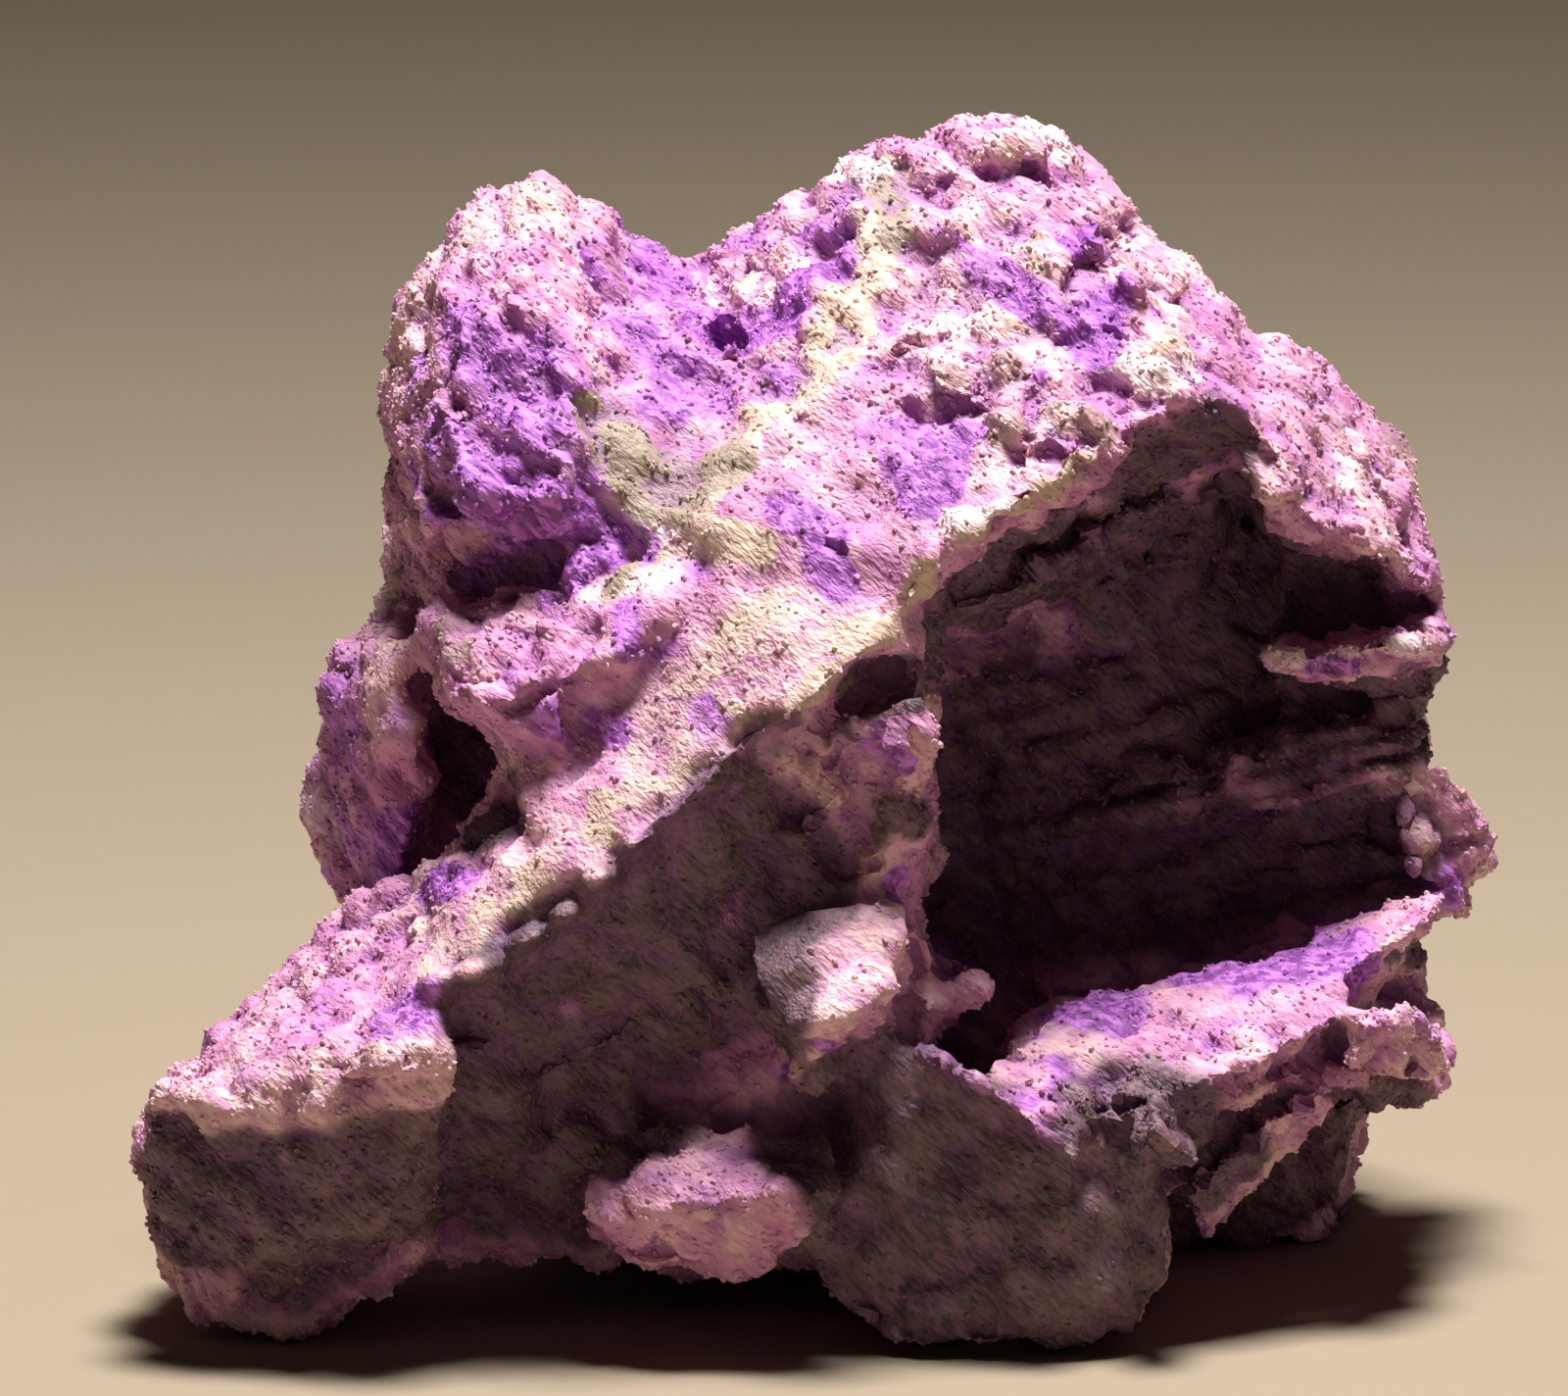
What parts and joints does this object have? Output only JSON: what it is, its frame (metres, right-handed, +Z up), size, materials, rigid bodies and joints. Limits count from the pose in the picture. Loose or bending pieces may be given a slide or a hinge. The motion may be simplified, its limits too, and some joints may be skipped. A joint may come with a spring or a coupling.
{
  "type": "sugilite",
  "caption": "Free-standing rough piece of sugilite with a jagged crown, a deep hollow and bedded ledges, standing on the ends of its lower spurs.",
  "frame": {"origin": "on the surface the stone stands on, under the middle of its box", "axes": "+X to the right and +Y away as seen from the front, where the deep hollow is at the right; +Z up"},
  "size_m": [0.14, 0.1104, 0.1222],
  "materials": {
    "sugilite": "dull, sugary broken surface, pale lilac with violet patches and cream-tan veins"
  },
  "bodies": {
    "root": {"stone": "sugilite"}
  },
  "joints": []
}
